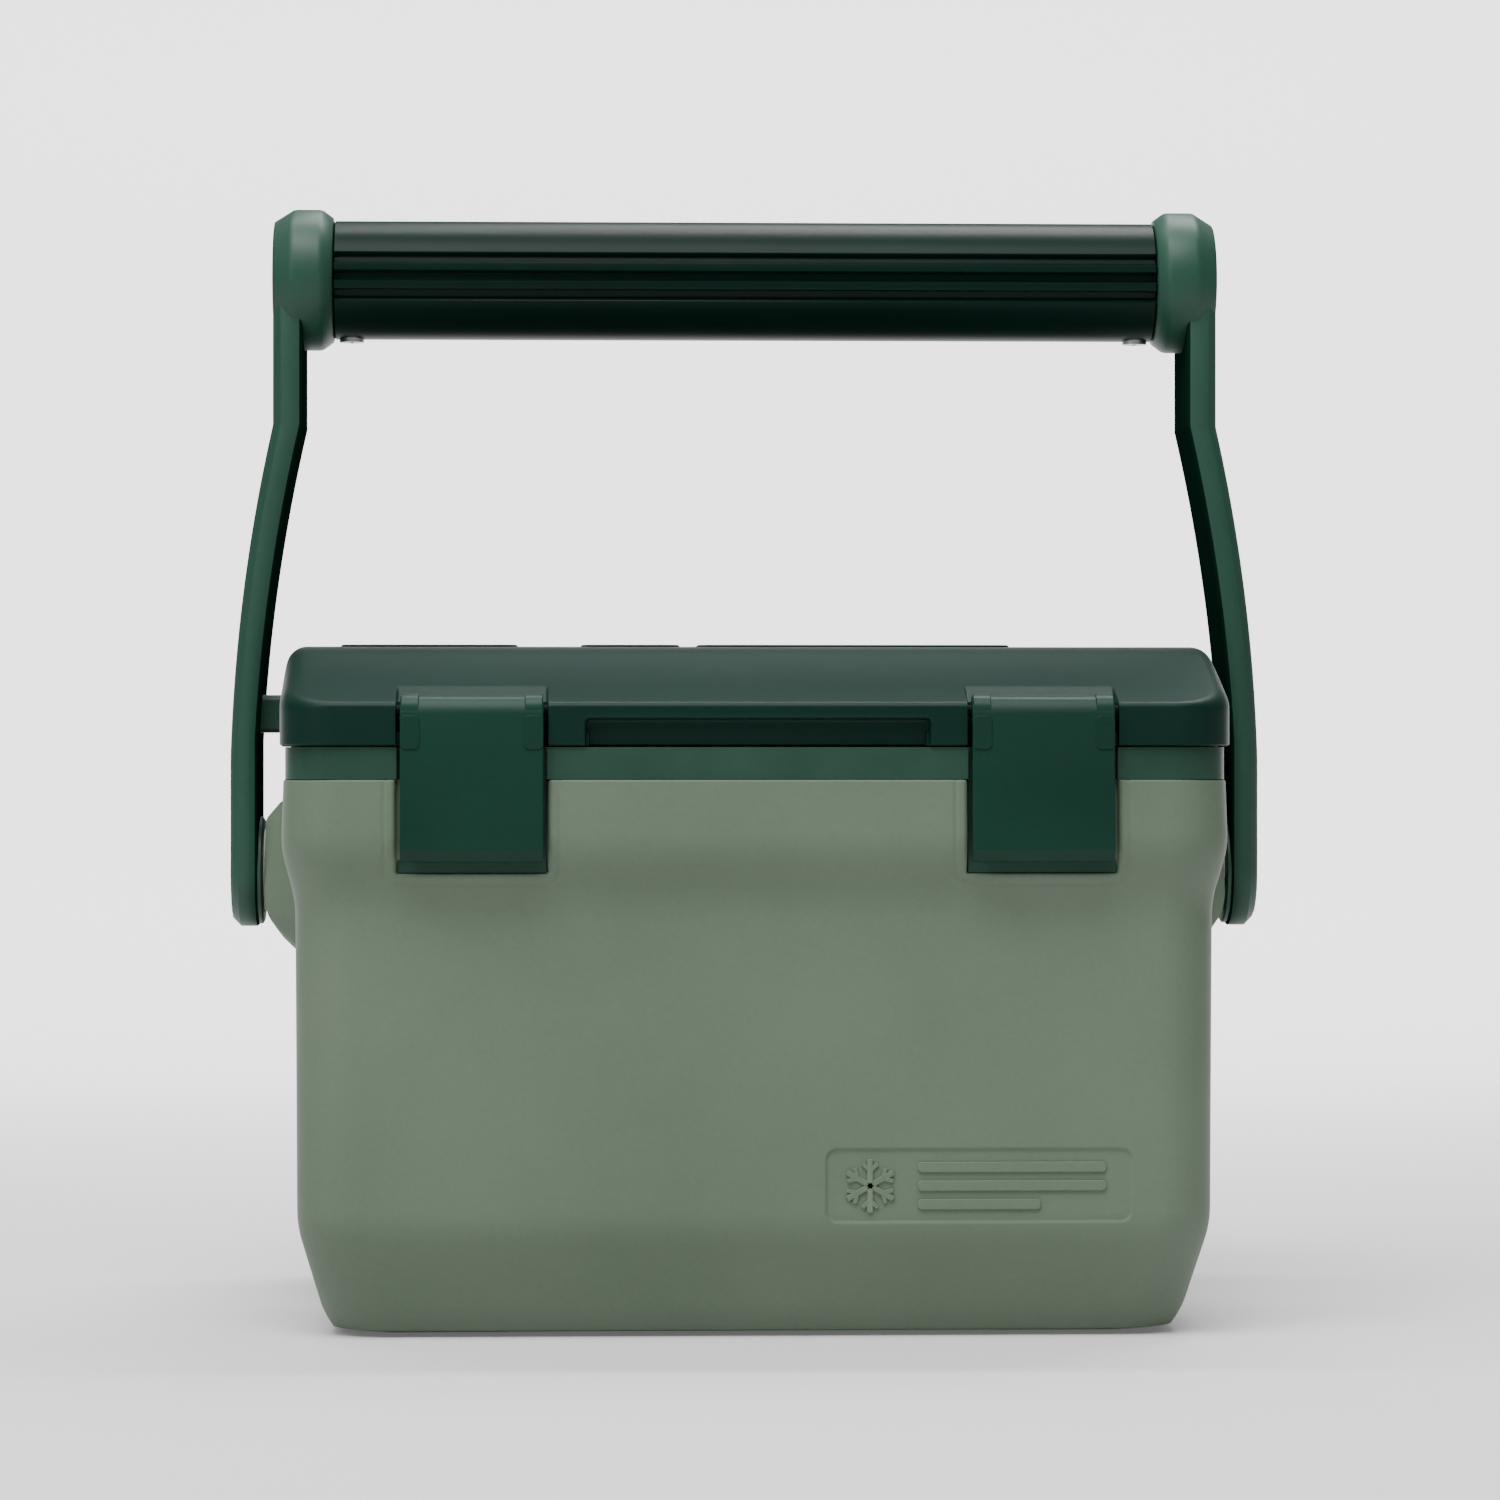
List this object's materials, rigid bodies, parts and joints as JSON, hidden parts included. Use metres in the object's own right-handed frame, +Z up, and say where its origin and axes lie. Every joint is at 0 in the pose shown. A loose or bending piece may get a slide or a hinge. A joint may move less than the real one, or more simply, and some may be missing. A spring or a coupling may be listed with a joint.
{
  "type": "hard-sided lunch cooler",
  "caption": "Hard-sided lunch cooler in sage green with a dark green hinged lid, front draw latches and a tall swing-up bail handle with a ribbed grip.",
  "frame": {"origin": "middle of the footprint at the level the cooler stands on", "axes": "+X to the viewer's right with the latches facing the viewer, -Y the front with the latches, +Z up"},
  "size_m": [0.298, 0.211, 0.3195],
  "materials": {
    "body": "matte",
    "lid": "satin",
    "trim": "satin",
    "arm": "satin",
    "grip": "satin",
    "foam": "matte",
    "liner": "satin",
    "seal": "matte",
    "steel": "satin",
    "pin": "satin",
    "bearing": "satin"
  },
  "bodies": {
    "base": {"outer_shell": "body", "body_foam": "foam", "inner_liner": "liner", "rim_collar": "trim", "hinge_pin_right": "steel", "hinge_pin_left": "steel", "pivot_bolt_right": "steel", "pivot_bolt_left": "steel", "pivot_anchor_right": "steel", "pivot_anchor_left": "steel"},
    "lid": {"lid_shell": "lid", "lid_foam": "foam", "lid_liner": "liner", "lid_gasket": "seal", "latch_pin_right": "pin", "latch_pin_left": "pin"},
    "latch_right": {"latch_right": "trim"},
    "latch_left": {"latch_left": "trim"},
    "hub": {"pivot_bush_right": "bearing", "pivot_bush_left": "bearing", "pivot_washer_right": "bearing", "pivot_washer_left": "bearing"},
    "handle": {"handle_grip": "grip", "handle_arm_right": "arm", "handle_arm_left": "arm", "grip_screw_right": "steel", "grip_screw_left": "steel", "pivot_cap_right": "arm", "pivot_cap_left": "arm"}
  },
  "joints": [
    {"name": "lid_hinge", "type": "hinge", "parent": "base", "child": "lid", "pos_m": [0, 0.1009, 0.163], "axis": [-1, 0, 0], "range_deg": [0, 100]},
    {"name": "latch_right_pivot", "type": "hinge", "parent": "lid", "child": "latch_right", "pos_m": [0.078, -0.0999, 0.1728], "axis": [-1, 0, 0], "range_deg": [0, 100]},
    {"name": "latch_left_pivot", "type": "hinge", "parent": "lid", "child": "latch_left", "pos_m": [-0.078, -0.0999, 0.1728], "axis": [-1, 0, 0], "range_deg": [0, 100]},
    {"name": "hub_turn", "type": "hinge", "parent": "base", "child": "hub", "pos_m": [0, 0, 0.127], "axis": [-1, 0, 0], "range_deg": [0, 75]},
    {"name": "handle_swing", "type": "hinge", "parent": "hub", "child": "handle", "pos_m": [0, 0, 0.127], "axis": [-1, 0, 0], "range_deg": [-125, 50]}
  ],
  "couplings": [
    {"joint": "hub_turn", "follows": "lid_hinge", "ratio": 0.75}
  ]
}
